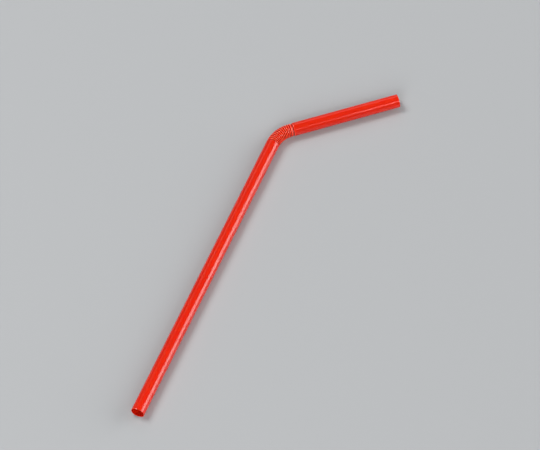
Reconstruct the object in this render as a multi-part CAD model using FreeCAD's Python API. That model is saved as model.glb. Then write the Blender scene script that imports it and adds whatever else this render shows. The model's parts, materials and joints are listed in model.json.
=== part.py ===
"""Flexible drinking straw, bent, lying on its side.

One piece of thin tube: a long lower tube, a pleated bellows that turns the straw, and a
short mouthpiece. Lengths are in millimetres. The straw lies on the plane z = 0 with +Z up
and its lower tube along +Y. Seen from above, the bend turns the mouthpiece towards +X.
The origin is on that plane, under the middle of the bounding box.
"""

import FreeCAD, Part
import math
import os

# Driving dimensions of the tube, in millimetres and degrees
TUBE_DIAMETER = 6.0
WALL = 0.18
LOWER_LENGTH = 149.0
MOUTHPIECE_LENGTH = 49.2
BEND_ANGLE = 49.0

# Pleats of the bellows, measured along its centre line. From a crest, each pleat falls to
# its root in a long slope that faces the mouthpiece, and rises again in a short steep one.
# The flats are the narrow ones: inside the crests, and outside the roots.
PLEAT_COUNT = 12
PLEAT_DEPTH = 0.50
PLEAT_FALL = 0.42
PLEAT_RISE = 0.15
CREST_FLAT = 0.06
ROOT_FLAT = 0.08

# After the last pleat, a wide shoulder slopes down in front of the mouthpiece
SHOULDER_FALL = 0.90


def corner(run):
    """Distance along the straw from a corner of the wall's middle to one of its skins.

    The corner joins a flat to a slope of this run. Set so, both skins keep the full wall.
    """
    return WALL / 2 * math.tan(math.atan2(PLEAT_DEPTH, run) / 2)


# Values that follow from the dimensions
RADIUS = TUBE_DIAMETER / 2
BORE_RADIUS = RADIUS - WALL
CORNERS = corner(PLEAT_FALL) + corner(PLEAT_RISE)
CREST_LAND = CREST_FLAT + CORNERS
ROOT_LAND = ROOT_FLAT + CORNERS
PLEAT_PITCH = CREST_LAND + PLEAT_FALL + ROOT_LAND + PLEAT_RISE
PLEATED_LENGTH = PLEAT_COUNT * PLEAT_PITCH
BELLOWS_LENGTH = PLEATED_LENGTH + SHOULDER_FALL + ROOT_LAND + PLEAT_RISE + CREST_LAND
TURN_PER_PLEAT = BEND_ANGLE / PLEAT_COUNT
# The slopes of a pleat keep their length. So it is shallower where the bend opens it and
# deeper where the bend closes it, and its root circles sit off the centre line.
OPENING = RADIUS * math.radians(TURN_PER_PLEAT)
ROOT_SHIFT = OPENING * PLEAT_FALL * PLEAT_RISE / (PLEAT_FALL + PLEAT_RISE) / PLEAT_DEPTH

# The skins of the wall: which way each one lies from the middle of the wall
OUTER = 1
INNER = -1

UP = FreeCAD.Vector(0, 0, 1)
FORWARD = FreeCAD.Vector(0, 1, 0)
BEND_OUTSIDE = UP.cross(FORWARD)
# Stands a circle up across the straw, with its start at the underside
ACROSS = FreeCAD.Rotation(-UP, BEND_OUTSIDE, FORWARD)


def heading(turn):
    """Rotation of the straw's direction after it has turned by this many degrees."""
    return FreeCAD.Rotation(UP, -turn)


def walk(centre, turn, length, turned):
    """Centre and turn after a stretch of the centre line that turns by this much."""
    half = math.radians(turned) / 2
    chord = length * math.sin(half) / half if half else length
    direction = heading(turn + turned / 2).multVec(FORWARD)
    return centre + direction * chord, turn + turned


def centre_line(foot, distance):
    """Centre and turn this far along the bellows: an arc over the pleats, then straight."""
    pleated = min(distance, PLEATED_LENGTH)
    centre, turn = walk(foot, 0.0, pleated, pleated / PLEAT_PITCH * TURN_PER_PLEAT)
    return walk(centre, turn, distance - pleated, 0.0)


def section_circle(centre, turn, radius, shift=0.0):
    """Circle across the straw, moved by shift towards the outside of the bend."""
    wire = Part.Wire(Part.makeCircle(radius))
    middle = centre + heading(turn).multVec(BEND_OUTSIDE) * shift
    wire.Placement = FreeCAD.Placement(middle, heading(turn) * ACROSS)
    return wire


def groove(start, fall, skin, shift):
    """The four circles of one groove in one skin, as (distance, depth, shift).

    Along the middle of the wall, the groove falls from start, has a flat root and rises.
    """
    root_start = start + fall
    root_end = root_start + ROOT_LAND
    fall_corner = skin * corner(fall)
    rise_corner = skin * corner(PLEAT_RISE)
    return [
        (start + fall_corner, 0.0, 0.0),
        (root_start + fall_corner, PLEAT_DEPTH, shift),
        (root_end - rise_corner, PLEAT_DEPTH, shift),
        (root_end + PLEAT_RISE - rise_corner, 0.0, 0.0),
    ]


def bellows_sections(skin):
    """All circles of the bellows in one skin, from the lower tube to the mouthpiece."""
    sections = [(0.0, 0.0, 0.0)]
    for pleat in range(PLEAT_COUNT):
        start = pleat * PLEAT_PITCH + CREST_LAND / 2
        sections += groove(start, PLEAT_FALL, skin, ROOT_SHIFT)
    sections += groove(PLEATED_LENGTH + CREST_LAND / 2, SHOULDER_FALL, skin, 0.0)
    sections.append((BELLOWS_LENGTH, 0.0, 0.0))
    return sections


def bellows_skin(foot, skin):
    """Solid that one skin of the bellows encloses: a ruled loft through its circles."""
    radius = RADIUS if skin == OUTER else BORE_RADIUS
    wires = []
    for distance, depth, shift in bellows_sections(skin):
        centre, turn = centre_line(foot, distance)
        wires.append(section_circle(centre, turn, radius - depth, shift))
    return Part.makeLoft(wires, True, True)


def tube(foot, turn, length):
    """Straight open tube from foot."""
    rims = [section_circle(foot, turn, RADIUS), section_circle(foot, turn, BORE_RADIUS)]
    ring = Part.makeFace(rims, "Part::FaceMakerBullseye")
    return ring.extrude(heading(turn).multVec(FORWARD) * length)


def straw():
    """The whole straw as one open solid, lying on z = 0."""
    foot = UP * RADIUS
    bellows_foot = foot + FORWARD * LOWER_LENGTH
    mouthpiece_foot, turn = centre_line(bellows_foot, BELLOWS_LENGTH)
    lower = tube(foot, 0.0, LOWER_LENGTH)
    bellows = bellows_skin(bellows_foot, OUTER).cut(bellows_skin(bellows_foot, INNER))
    mouthpiece = tube(mouthpiece_foot, turn, MOUTHPIECE_LENGTH)
    whole = lower.fuse([bellows, mouthpiece]).removeSplitter()
    box = whole.optimalBoundingBox(False, False)
    whole.translate(FreeCAD.Vector(-box.Center.x, -box.Center.y, 0))
    return whole


os.makedirs("parts", exist_ok=True)
shape = straw()
shape.exportStep("parts/straw.step")
print("straw:", len(shape.Solids), "solid, valid", shape.isValid(), "volume", round(shape.Volume, 2))
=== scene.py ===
"""A bent flexible drinking straw, dressed for its render.

The frame gives the straw's size and place: its two straight legs, the bend and the bore.
This script makes the thin wall again with rounded pleats and true cut ends, and adds the
plastic, the floor, the light and the camera. Lengths are in metres.
"""

import json
import math
import random

import bmesh
import bpy
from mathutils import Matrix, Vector, noise


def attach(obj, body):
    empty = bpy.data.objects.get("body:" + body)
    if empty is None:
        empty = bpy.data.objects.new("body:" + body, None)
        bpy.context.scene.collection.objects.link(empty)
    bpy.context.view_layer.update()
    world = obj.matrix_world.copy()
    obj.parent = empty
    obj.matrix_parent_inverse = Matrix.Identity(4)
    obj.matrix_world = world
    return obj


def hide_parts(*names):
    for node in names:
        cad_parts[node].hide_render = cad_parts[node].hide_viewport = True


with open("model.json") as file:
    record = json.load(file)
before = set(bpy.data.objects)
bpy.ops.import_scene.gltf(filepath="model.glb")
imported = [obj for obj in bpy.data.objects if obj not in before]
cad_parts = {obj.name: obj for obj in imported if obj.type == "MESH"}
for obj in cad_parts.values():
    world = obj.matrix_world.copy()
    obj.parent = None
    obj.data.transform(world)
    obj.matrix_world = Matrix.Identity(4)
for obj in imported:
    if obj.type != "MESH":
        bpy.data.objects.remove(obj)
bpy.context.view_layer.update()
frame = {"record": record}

MM = 0.001

# The tube and its two legs, from the frame's mounts
MOUNTS = {mount["name"]: mount for mount in frame["record"]["mounts"]}
LOWER_TUBE = MOUNTS["lower_tube"]
MOUTHPIECE = MOUNTS["mouthpiece_tube"]
RADIUS = LOWER_TUBE["dims"]["r_mm"] * MM
WALL = RADIUS - MOUNTS["lower_bore"]["dims"]["r_mm"] * MM
LOWER_LENGTH = LOWER_TUBE["dims"]["length_mm"] * MM
FOOT = Vector(LOWER_TUBE["pos_m"])
TIP = Vector(MOUTHPIECE["pos_m"])
BEND_ANGLE = math.atan2(MOUTHPIECE["axis"][0], MOUTHPIECE["axis"][1])

# The pleats, along the middle of the wall, as the frame's bellows has them
PLEAT_COUNT = 12
PLEAT_DEPTH = 0.50 * MM
PLEAT_FALL = 0.42 * MM
PLEAT_RISE = 0.15 * MM
CREST_LAND = 0.17 * MM
SHOULDER_FALL = 0.90 * MM

# How far the pleats vary: their places, and their depth as a share of it
PITCH_SPREAD = 0.015 * MM
DEPTH_SPREAD = 0.06
SEED = 7

# How far the wall draws in, over waves of this length
TUBE_WAVE = 0.015 * MM
WAVE_LENGTH = 25 * MM

# How far the knife's cut falls short, and how far into the wall that is felt
END_WAVE = 0.07 * MM
END_REACH = END_WAVE * 4
END_NOISE_SCALE = 0.9
END_NOISE_PLACE = 7.3

# The rims of the cuts are rounded in two steps. A ring of the mesh close behind a rim keeps
# its rounding out of the tube's shading.
RIM_ROUND = 0.035 * MM
RIM_BEVEL = RIM_ROUND * 0.3
RIM_SUPPORT = 0.2 * MM
CUT_WIDTH = 0.01 * MM

# How finely the wall is meshed
SEGMENTS = 112
CORNER_STEPS = 4
RING_SPACING = 3.0 * MM

# Colours of the plastic: the tube with its faint clouds, the pleat roots darkened as painted
# shade, and the crests and cut rims paler, as stress whitening and painted highlight
TUBE_RED = (0.88, 0.017, 0.001, 1)
CLOUD_RED = (0.93, 0.023, 0.002, 1)
ROOT_PAINTED_SHADE = (0.27, 0.002, 0.0005, 1)
CREST_WHITENING_AND_HIGHLIGHT = (1.0, 0.075, 0.030, 1)

# Patterns in the plastic, as cells of noise per metre across, along and across the straw
DRAW_LINES = (2600, 18, 2600)
CLOUDS = (140, 60, 140)
GRAIN = (9000, 5000, 9000)

# The floor reaches this far from the straw on each side
FLOOR_REACH = 3.0
FLOOR_GREY = (0.39, 0.40, 0.41, 1)

# All lights stand this far away. The surroundings have this share of white's radiance.
LIGHT_DISTANCE = 3.0
SURROUNDINGS = 0.10

# The camera looks at a point on the floor, which is given from the lower cut end. A metre
# there is this many pixels wide in the picture.
CAMERA_AZIMUTH = math.radians(22.6)
CAMERA_ELEVATION = math.radians(57.0)
CAMERA_DISTANCE = 1.7
CAMERA_TARGET = Vector((14.6 * MM, 110.9 * MM, 0))
PIXELS_PER_METRE = 2285.0
IMAGE_WIDTH = 540
SENSOR_WIDTH = 36.0

UP = Vector((0, 0, 1))


def heading(turn):
    """Direction of the straw after it has turned by this angle, seen from above."""
    return Vector((math.sin(turn), math.cos(turn), 0))


def bend_outside(turn):
    """Direction across the straw towards the outside of the bend."""
    return UP.cross(heading(turn))


# The pleats turn the straw in one arc, and from there it runs straight to the tip
BELLOWS_FOOT = FOOT + heading(0) * LOWER_LENGTH
REACH = (TIP - BELLOWS_FOOT).to_2d()
CHORD_WAY = heading(BEND_ANGLE / 2).to_2d()
MOUTH_WAY = heading(BEND_ANGLE).to_2d()
CHORD = REACH.cross(MOUTH_WAY) / CHORD_WAY.cross(MOUTH_WAY)
STRAIGHT = CHORD_WAY.cross(REACH) / CHORD_WAY.cross(MOUTH_WAY)
ARC_RADIUS = CHORD / 2 / math.sin(BEND_ANGLE / 2)
ARC_LENGTH = ARC_RADIUS * BEND_ANGLE
ARC_END = LOWER_LENGTH + ARC_LENGTH
STRAW_LENGTH = ARC_END + STRAIGHT

PLEAT_PITCH = ARC_LENGTH / PLEAT_COUNT
ROOT_LAND = PLEAT_PITCH - PLEAT_FALL - PLEAT_RISE - CREST_LAND
# The folded stretch starts just past the lower tube's last ring, so the tube stays plain
FOLDS_START = LOWER_LENGTH + CREST_LAND / 10
FOLDS_END = ARC_END + CREST_LAND + SHOULDER_FALL + ROOT_LAND + PLEAT_RISE
# The slopes of a pleat keep their length, so the bend moves its roots off the centre line
OPENING = RADIUS * BEND_ANGLE / PLEAT_COUNT
ROOT_SHIFT = OPENING * PLEAT_FALL * PLEAT_RISE / (PLEAT_FALL + PLEAT_RISE) / PLEAT_DEPTH


def centre_line(distance):
    """Centre and turn this far along the straw from the lower cut end."""
    if distance <= LOWER_LENGTH:
        return FOOT + heading(0) * distance, 0.0
    turn = min(distance - LOWER_LENGTH, ARC_LENGTH) / ARC_RADIUS
    centre = BELLOWS_FOOT + heading(turn / 2) * (2 * ARC_RADIUS * math.sin(turn / 2))
    straight = max(0.0, distance - ARC_END)
    return centre + heading(turn) * straight, turn


def land_radius(land, fall):
    """Radius of the two arcs that take up a land between a slope of this fall and a rise."""
    tangents = 0.0
    for run in (fall, PLEAT_RISE):
        tangents += math.tan(math.atan2(PLEAT_DEPTH, run) / 2)
    return land / tangents


def groove(start, fall, depth):
    """Corners of one groove in the middle of the wall, as (distance, height, radius)."""
    root_start = start + fall
    root_end = root_start + ROOT_LAND
    crest = land_radius(CREST_LAND, PLEAT_FALL)
    root = land_radius(ROOT_LAND, fall)
    return [
        (start, 0.0, crest),
        (root_start, -depth, root),
        (root_end, -depth, root),
        (root_end + PLEAT_RISE, 0.0, crest),
    ]


def wall_corners():
    """Corners of the whole wall's middle, from the lower cut end to the tip."""
    chance = random.Random(SEED)
    corners = [(0.0, 0.0, 0.0)]
    for pleat in range(PLEAT_COUNT):
        start = LOWER_LENGTH + pleat * PLEAT_PITCH + CREST_LAND / 2
        start += chance.uniform(-PITCH_SPREAD, PITCH_SPREAD)
        depth = PLEAT_DEPTH * (1 - chance.uniform(0, DEPTH_SPREAD))
        corners += groove(start, PLEAT_FALL, depth)
    corners += groove(ARC_END + CREST_LAND / 2, SHOULDER_FALL, PLEAT_DEPTH)
    corners.append((STRAW_LENGTH, 0.0, 0.0))
    return corners


def arc_at(before, corner, after, radius):
    """(point, normal) pairs of the arc that rounds one corner of the wall's middle."""
    into = (corner - before).normalized()
    out = (after - corner).normalized()
    turn = math.atan2(into.cross(out), into.dot(out))
    first_normal = Vector((-into.y, into.x))
    start = corner - into * (radius * math.tan(abs(turn) / 2))
    side = math.copysign(1, turn)
    middle = start + first_normal * radius * side
    stations = []
    for step in range(CORNER_STEPS + 1):
        angle = turn * step / CORNER_STEPS
        normal = Vector((
            first_normal.x * math.cos(angle) - first_normal.y * math.sin(angle),
            first_normal.x * math.sin(angle) + first_normal.y * math.cos(angle),
        ))
        stations.append((middle - normal * radius * side, normal))
    return stations


def plain(distance):
    """(point, normal) pair of the plain tube's wall, this far along the straw."""
    return Vector((distance, 0.0)), Vector((0.0, 1.0))


def along(start, end):
    """(point, normal) pairs of a plain stretch, evenly spaced, without its last point."""
    count = max(1, round((end - start) / RING_SPACING))
    return [plain(start + (end - start) * step / count) for step in range(count)]


def wall_middle():
    """(point, normal) pairs of the middle of the wall, from the lower cut end to the tip.

    A point is (distance along the straw, height over the tube's wall).
    """
    corners = wall_corners()
    mouthpiece_start = corners[-2][0] + CREST_LAND
    stations = along(0.0, RIM_SUPPORT) + along(RIM_SUPPORT, LOWER_LENGTH)
    stations.append(plain(LOWER_LENGTH))
    for before, corner, after in zip(corners, corners[1:], corners[2:]):
        stations += arc_at(Vector(before[:2]), Vector(corner[:2]), Vector(after[:2]), corner[2])
    stations += along(mouthpiece_start, STRAW_LENGTH - RIM_SUPPORT)
    stations += along(STRAW_LENGTH - RIM_SUPPORT, STRAW_LENGTH)
    stations.append(plain(STRAW_LENGTH))
    return stations


def wall_outline():
    """The wall's closed section: along the outside, over the tip's rim, back along the bore.

    Each point is (distance, radius, height of the wall's middle there).
    """
    middle_radius = RADIUS - WALL / 2
    outside = []
    inside = []
    skins = ((outside, 1), (inside, -1))
    for point, normal in wall_middle():
        for skin, way in skins:
            at = point + normal * (way * WALL / 2)
            skin.append((at.x, middle_radius + at.y, point.y))
    for skin, way in skins:
        edge = middle_radius + way * (WALL / 2 - RIM_ROUND)
        bevel = middle_radius + way * (WALL / 2 - RIM_BEVEL)
        skin[0] = (RIM_ROUND, skin[0][1], 0.0)
        skin[-1] = (STRAW_LENGTH - RIM_ROUND, skin[-1][1], 0.0)
        skin.insert(0, (RIM_BEVEL, bevel, 0.0))
        skin.insert(0, (0.0, edge, 0.0))
        skin.append((STRAW_LENGTH - RIM_BEVEL, bevel, 0.0))
        skin.append((STRAW_LENGTH, edge, 0.0))
    return outside + inside[::-1]


def fold_shade_and_highlight_at(distance, height):
    """Mask for painted shade in the pleat roots, and for crests and cut rims made paler as
    stress whitening and painted highlight.

    It is 1 on a crest or a cut rim, -1 in a root, between them on a slope, and 0 elsewhere.
    """
    if min(distance, STRAW_LENGTH - distance) < CUT_WIDTH:
        return 1.0
    if not FOLDS_START < distance < FOLDS_END:
        return 0.0
    return 1.0 + 2.0 * height / PLEAT_DEPTH


def smooth_chance(place):
    """Smooth noise at this place, from about 0 to about 1."""
    return 0.5 + 0.5 * noise.noise(place)


def uneven(distance, radius, angle):
    """A point of the section moved as a real tube's wall and knife cut would have it.

    The wall only draws in and the cut only falls short, so the straw stays within its size.
    """
    around = Vector((math.cos(angle), math.sin(angle), 0))
    radius -= TUBE_WAVE * smooth_chance(around + UP * (distance / WAVE_LENGTH))
    for end, inward in ((0.0, 1), (STRAW_LENGTH, -1)):
        away = abs(distance - end)
        if away < END_REACH:
            cut = smooth_chance(around * END_NOISE_SCALE + UP * (END_NOISE_PLACE + inward))
            distance += inward * END_WAVE * cut * (1 - away / END_REACH)
    return distance, radius


def straw_mesh():
    """Mesh of the straw: the wall's section swept round the centre line."""
    mesh = bpy.data.meshes.new("straw_wall")
    form = bmesh.new()
    unbent = form.verts.layers.float_vector.new("unbent")
    fold_shade_and_highlight = form.verts.layers.float.new("fold_shade_and_highlight")
    rings = []
    for distance, radius, height in wall_outline():
        ring = []
        for segment in range(SEGMENTS):
            angle = 2 * math.pi * segment / SEGMENTS
            here, reach = uneven(distance, radius, angle)
            centre, turn = centre_line(here)
            across = bend_outside(turn)
            outwards = across * math.cos(angle) + UP * math.sin(angle)
            shift = ROOT_SHIFT * -height / PLEAT_DEPTH if here < ARC_END else 0.0
            vertex = form.verts.new(centre + outwards * reach + across * shift)
            vertex[unbent] = Vector((RADIUS * math.cos(angle), here, RADIUS * math.sin(angle)))
            vertex[fold_shade_and_highlight] = fold_shade_and_highlight_at(distance, height)
            ring.append(vertex)
        rings.append(ring)
    for ring, following in zip(rings, rings[1:] + rings[:1]):
        for segment in range(SEGMENTS):
            beside = (segment + 1) % SEGMENTS
            corners = (ring[segment], following[segment], following[beside], ring[beside])
            form.faces.new(corners).smooth = True
    bmesh.ops.recalc_face_normals(form, faces=form.faces)
    form.to_mesh(mesh)
    form.free()
    return mesh


class Nodes:
    """Short forms for making and linking shader nodes."""

    def __init__(self, owner):
        owner.use_nodes = True
        self.tree = owner.node_tree
        self.tree.nodes.clear()

    def add(self, kind, inputs=None, **settings):
        """New node. Each input is a value, or a socket of another node to link."""
        node = self.tree.nodes.new(kind)
        for name, value in settings.items():
            setattr(node, name, value)
        for name, value in (inputs or {}).items():
            if isinstance(value, bpy.types.NodeSocket):
                self.tree.links.new(value, node.inputs[name])
            else:
                node.inputs[name].default_value = value
        return node


def straw_plastic():
    """Red polypropylene, semi-gloss and slightly translucent, with lengthwise draw lines."""
    material = bpy.data.materials.new("straw_plastic")
    nodes = Nodes(material)
    place = nodes.add("ShaderNodeAttribute", attribute_name="unbent").outputs["Vector"]
    fold_shade_and_highlight = nodes.add("ShaderNodeAttribute", attribute_name="fold_shade_and_highlight").outputs["Fac"]

    def pattern(scale, detail):
        """Noise that is stretched along the unbent straw."""
        stretched = nodes.add("ShaderNodeVectorMath", {0: place, 1: scale}, operation="MULTIPLY")
        return nodes.add(
            "ShaderNodeTexNoise",
            {"Vector": stretched.outputs[0], "Scale": 1.0, "Detail": detail, "Roughness": 0.55},
        ).outputs["Fac"]

    def spread(value, low, high, start=0.3, end=0.7):
        """Goes from low to high while the value goes from start to end."""
        return nodes.add(
            "ShaderNodeMapRange",
            {"Value": value, "From Min": start, "From Max": end, "To Min": low, "To Max": high},
        ).outputs["Result"]

    def mixed(amount, first, second):
        """The first colour where the amount is 0, the second where it is 1."""
        return nodes.add(
            "ShaderNodeMixRGB",
            {"Fac": amount, "Color1": first, "Color2": second},
        ).outputs["Color"]

    draw_lines = pattern(DRAW_LINES, detail=2.0)
    clouds = pattern(CLOUDS, detail=3.0)
    grain = pattern(GRAIN, detail=2.0)

    # Crests and cut rims are made paler, as stress whitening and painted highlight,
    # and the roots of the pleats are darkened as painted shade
    shade = mixed(spread(clouds, 0, 1), TUBE_RED, CLOUD_RED)
    # Painted shade: the roots of the pleats are darkened
    shade = mixed(spread(fold_shade_and_highlight, 0, 1, start=0.2, end=-0.6), shade, ROOT_PAINTED_SHADE)
    # Painted highlight, with some stress whitening: crests and cut rims turn paler
    shade = mixed(spread(fold_shade_and_highlight, 0, 1, start=0.3, end=0.9), shade, CREST_WHITENING_AND_HIGHLIGHT)
    lines_bump = nodes.add(
        "ShaderNodeBump",
        {"Strength": 0.25, "Distance": 0.02 * MM, "Height": draw_lines},
    )
    grain_bump = nodes.add(
        "ShaderNodeBump",
        {
            "Strength": 0.12,
            "Distance": 0.01 * MM,
            "Height": grain,
            "Normal": lines_bump.outputs[0],
        },
    )
    surface = nodes.add(
        "ShaderNodeBsdfPrincipled",
        {
            "Base Color": shade,
            "Roughness": spread(draw_lines, 0.14, 0.20),
            "Normal": grain_bump.outputs[0],
            "IOR": 1.49,
            "Subsurface Weight": 0.6,
            "Subsurface Radius": (1.0, 0.15, 0.08),
            "Subsurface Scale": 0.8 * MM,
        },
    )
    nodes.add("ShaderNodeOutputMaterial", {"Surface": surface.outputs[0]})
    return material


def floor_paint():
    """Plain pale grey, matt."""
    material = bpy.data.materials.new("floor_paint")
    nodes = Nodes(material)
    surface = nodes.add(
        "ShaderNodeBsdfPrincipled",
        {"Base Color": FLOOR_GREY, "Roughness": 0.5, "Specular IOR Level": 0.4},
    )
    nodes.add("ShaderNodeOutputMaterial", {"Surface": surface.outputs[0]})
    return material


def add_object(name, data):
    """New object with this data, linked into the scene."""
    made = bpy.data.objects.new(name, data)
    bpy.context.scene.collection.objects.link(made)
    return made


def make_straw():
    """The straw itself, in place of the frame's plain solid."""
    straw = add_object("drinking_straw", straw_mesh())
    straw.data.materials.append(straw_plastic())
    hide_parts("straw")
    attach(straw, "root")


def make_floor():
    """The surface that the straw lies on."""
    mesh = bpy.data.meshes.new("floor")
    form = bmesh.new()
    bmesh.ops.create_grid(form, x_segments=1, y_segments=1, size=FLOOR_REACH)
    form.to_mesh(mesh)
    form.free()
    mesh.materials.append(floor_paint())
    add_object("floor", mesh)


def camera_way(azimuth, elevation):
    """Direction from the straw back to a viewer there. Azimuth 0 looks along +Y."""
    level = math.cos(elevation)
    return Vector((
        math.sin(azimuth) * level,
        -math.cos(azimuth) * level,
        math.sin(elevation),
    ))


def make_camera():
    """Camera that looks down on the straw from beyond its lower end."""
    camera = bpy.data.cameras.new("camera")
    camera.sensor_width = SENSOR_WIDTH
    camera.lens = PIXELS_PER_METRE * CAMERA_DISTANCE / IMAGE_WIDTH * SENSOR_WIDTH
    holder = add_object("camera", camera)
    back = camera_way(CAMERA_AZIMUTH, CAMERA_ELEVATION)
    target = Vector((FOOT.x, FOOT.y, 0)) + CAMERA_TARGET
    holder.location = target + back * CAMERA_DISTANCE
    holder.rotation_euler = back.to_track_quat("Z", "Y").to_euler()
    bpy.context.scene.camera = holder


def softbox(name, way, size, radiance):
    """Area light on the side of the straw that way points to, seen as in the picture.

    The way is (right in the picture, away from the viewer along the floor, up), the size is
    in metres, and a radiance of 1 is that of white paper in plain light.
    """
    light = bpy.data.lights.new(name, "AREA")
    light.shape = "RECTANGLE"
    light.size, light.size_y = size
    light.energy = radiance * math.pi * size[0] * size[1]
    holder = add_object(name, light)
    right = Vector((math.cos(CAMERA_AZIMUTH), math.sin(CAMERA_AZIMUTH), 0))
    away = Vector((-math.sin(CAMERA_AZIMUTH), math.cos(CAMERA_AZIMUTH), 0))
    direction = (right * way[0] + away * way[1] + UP * way[2]).normalized()
    holder.location = direction * LIGHT_DISTANCE
    holder.rotation_euler = direction.to_track_quat("Z", "Y").to_euler()


def make_lights():
    """Soft studio light. The side box gives the wide streak, the small front one the thin."""
    softbox("side_softbox", way=(0.94, 0.22, 0.26), size=(3.0, 2.1), radiance=5.0)
    softbox("back_softbox", way=(-0.08, 0.80, 0.58), size=(2.0, 1.0), radiance=1.2)
    softbox("key_softbox", way=(-0.50, 0.28, 0.82), size=(1.3, 1.3), radiance=11.5)
    softbox("fill_softbox", way=(-0.20, -0.84, 0.50), size=(1.8, 1.8), radiance=6.0)
    softbox("front_softbox", way=(0.485, -0.560, 0.672), size=(0.20, 0.20), radiance=44.0)


def make_world():
    """Even, dim surroundings."""
    world = bpy.data.worlds.new("surroundings")
    bpy.context.scene.world = world
    nodes = Nodes(world)
    light = nodes.add(
        "ShaderNodeBackground",
        {"Color": (1, 1, 1, 1), "Strength": SURROUNDINGS},
    )
    nodes.add("ShaderNodeOutputWorld", {"Surface": light.outputs[0]})


make_camera()
make_straw()
make_floor()
make_lights()
make_world()

bpy.context.scene.view_settings.view_transform = "Standard"
